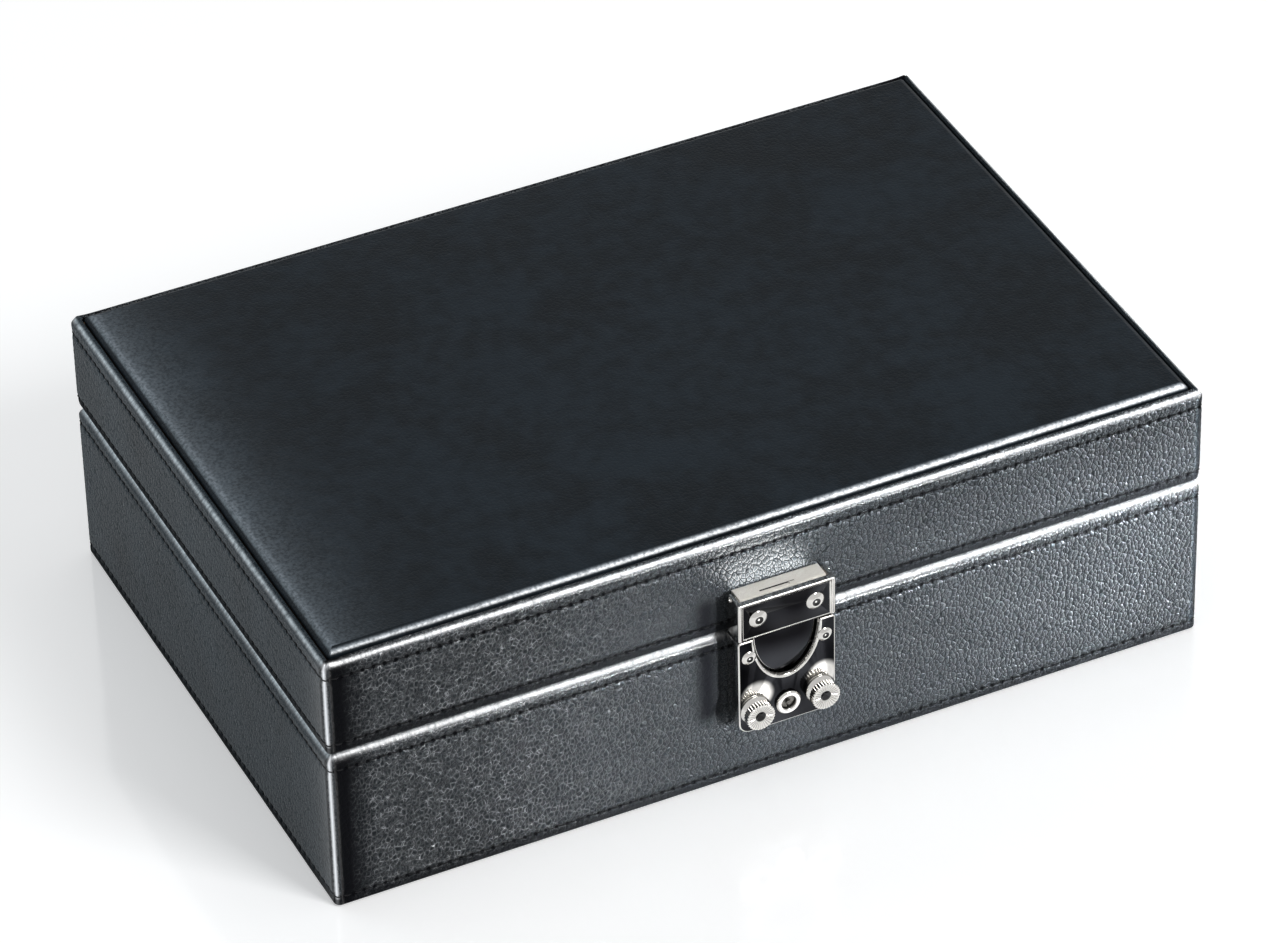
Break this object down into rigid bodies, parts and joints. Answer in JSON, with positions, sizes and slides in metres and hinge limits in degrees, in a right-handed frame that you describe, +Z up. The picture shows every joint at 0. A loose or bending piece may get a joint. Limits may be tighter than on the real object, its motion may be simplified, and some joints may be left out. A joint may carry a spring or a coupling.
{
  "type": "jewelry box",
  "caption": "Leather-covered jewelry box with a padded hinged lid, a hasp lock with knurled thumb knobs, velvet compartments and ring rolls.",
  "frame": {"origin": "middle of the box's plan on the underside, on the surface that it stands on", "axes": "+X along the front to the right as the owner sees the lock, +Y to the back hinges, +Z up"},
  "size_m": [0.27, 0.1972, 0.0872],
  "materials": {
    "wall_leather": "pebbled grain, semi-gloss",
    "panel_leather": "smooth grain, satin",
    "fibreboard": "raw fibreboard",
    "underside_sheet": "matt felted sheet",
    "velvet": "short pile",
    "nickel_plate": "polished nickel plate",
    "steel": "plated steel"
  },
  "bodies": {
    "base": {"base_back_board": "fibreboard", "base_bottom_board": "fibreboard", "base_floor_pad": "velvet", "base_front_board": "fibreboard", "base_left_board": "fibreboard", "base_right_board": "fibreboard", "base_underside_cover": "underside_sheet", "base_wall_leather": "wall_leather", "base_wall_lining": "velvet", "front_divider": "velvet", "hinge_base_leaf_left": "nickel_plate", "hinge_base_leaf_right": "nickel_plate", "hinge_base_screws": "steel", "hinge_pin_left": "steel", "hinge_pin_right": "steel", "key_escutcheon": "nickel_plate", "key_post": "steel", "lock_back_plate": "steel", "lock_case": "nickel_plate", "lock_case_rivets": "nickel_plate", "lock_plate_rivets": "steel", "long_divider": "velvet", "rear_divider": "velvet", "ring_divider": "velvet", "ring_roll_1": "velvet", "ring_roll_2": "velvet", "ring_roll_3": "velvet", "ring_roll_4": "velvet", "ring_roll_5": "velvet", "ring_roll_6": "velvet"},
    "lid": {"hasp_bracket": "nickel_plate", "hasp_bracket_rivets": "steel", "hasp_pin": "steel", "hinge_lid_leaf_left": "nickel_plate", "hinge_lid_leaf_right": "nickel_plate", "hinge_lid_screws": "steel", "lid_back_board": "fibreboard", "lid_ceiling_pad": "velvet", "lid_front_board": "fibreboard", "lid_left_board": "fibreboard", "lid_right_board": "fibreboard", "lid_top_board": "fibreboard", "lid_top_pad": "panel_leather", "lid_wall_leather": "wall_leather", "lid_wall_lining": "velvet"},
    "hasp": {"hasp_cover": "nickel_plate", "hasp_tongue": "nickel_plate", "tongue_catch": "steel", "hasp_rivets": "nickel_plate"},
    "knob_left": {"lock_knob_left": "nickel_plate", "knob_cam_left": "steel"},
    "knob_right": {"lock_knob_right": "nickel_plate", "knob_cam_right": "steel"},
    "key_plug": {"key_plug": "steel"}
  },
  "joints": [
    {"name": "lid_hinge", "type": "hinge", "parent": "base", "child": "lid", "pos_m": [0, 0.0921, 0.0532], "axis": [-1, 0, 0], "range_deg": [0, 95]},
    {"name": "hasp_hinge", "type": "hinge", "parent": "lid", "child": "hasp", "pos_m": [0, -0.0926, 0.0664], "axis": [-1, 0, 0], "range_deg": [0, 100]},
    {"name": "knob_left_turn", "type": "hinge", "parent": "base", "child": "knob_left", "pos_m": [-0.0101, -0.0974, 0.0295], "axis": [0, 1, 0], "range_deg": [0, 30]},
    {"name": "knob_right_turn", "type": "hinge", "parent": "base", "child": "knob_right", "pos_m": [0.0101, -0.0974, 0.0295], "axis": [0, -1, 0], "range_deg": [0, 30]},
    {"name": "key_turn", "type": "hinge", "parent": "base", "child": "key_plug", "pos_m": [0, -0.0974, 0.0288], "axis": [0, -1, 0], "range_deg": [0, 90]}
  ]
}
